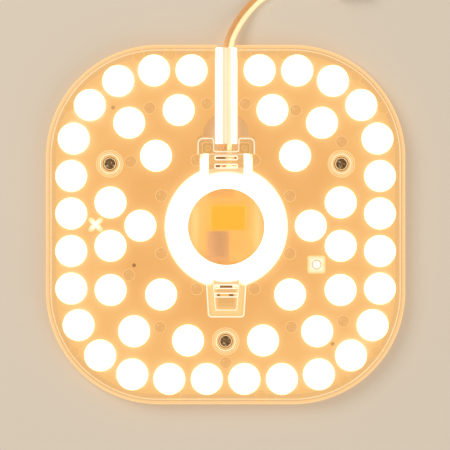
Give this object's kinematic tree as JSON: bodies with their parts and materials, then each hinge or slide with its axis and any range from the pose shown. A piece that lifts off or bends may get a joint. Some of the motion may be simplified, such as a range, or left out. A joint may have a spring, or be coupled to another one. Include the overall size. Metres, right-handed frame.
{
  "type": "led module",
  "caption": "Square magnet-mounted ceiling lamp module with round corners: clear lens cover, domed driver housing with vents, LED board, magnet feet and a two-wire supply lead.",
  "frame": {"origin": "under the middle of the lens cover, level with the magnets' faces", "axes": "+Z away from the ceiling plate towards the lenses, +Y along the lead tunnel towards the supply lead's exit, +X across"},
  "size_m": [0.1802, 0.2176, 0.0242],
  "materials": {
    "clear_cover": "clear, polished over the lenses",
    "board_white": "white solder mask",
    "led_body": "moulded white",
    "phosphor": "soft, warm white when lit",
    "nickel_steel": "nickel plated",
    "magnet": "sintered",
    "screw_steel": "zinc plated",
    "tray_white": "moulded",
    "driver_laminate": "bare laminate",
    "black_mould": "moulded",
    "ferrite": "sintered",
    "yellow_tape": "polyester tape",
    "can_sleeve": "shrunk sleeve",
    "film_case": "moulded",
    "resistor_body": "lacquered",
    "resistor_ceramic": "glazed black",
    "wire_brown": "soft insulation",
    "wire_cream": "soft insulation",
    "connector_white": "moulded",
    "brass": "bright"
  },
  "bodies": {
    "root": {"lens_cover": "clear_cover", "led_board": "board_white", "led_packages_outer": "led_body", "led_packages_inner": "led_body", "led_phosphors_outer": "phosphor", "led_phosphors_inner": "phosphor", "magnet_cups": "nickel_steel", "magnet_discs": "magnet", "magnet_screws": "screw_steel", "driver_tray": "tray_white", "driver_board": "driver_laminate", "transformer_bobbin": "black_mould", "transformer_core": "ferrite", "transformer_winding": "yellow_tape", "input_capacitor": "can_sleeve", "output_capacitor": "can_sleeve", "fuse_resistor": "resistor_body", "choke": "ferrite", "film_capacitor": "film_case", "bridge_rectifier": "black_mould", "driver_chip": "black_mould", "output_diode": "black_mould", "chip_resistors": "resistor_ceramic", "lead_wire_left": "wire_brown", "lead_wire_right": "wire_cream", "connector_housing": "connector_white", "connector_clamps": "brass", "connector_screws": "screw_steel"}
  },
  "joints": []
}
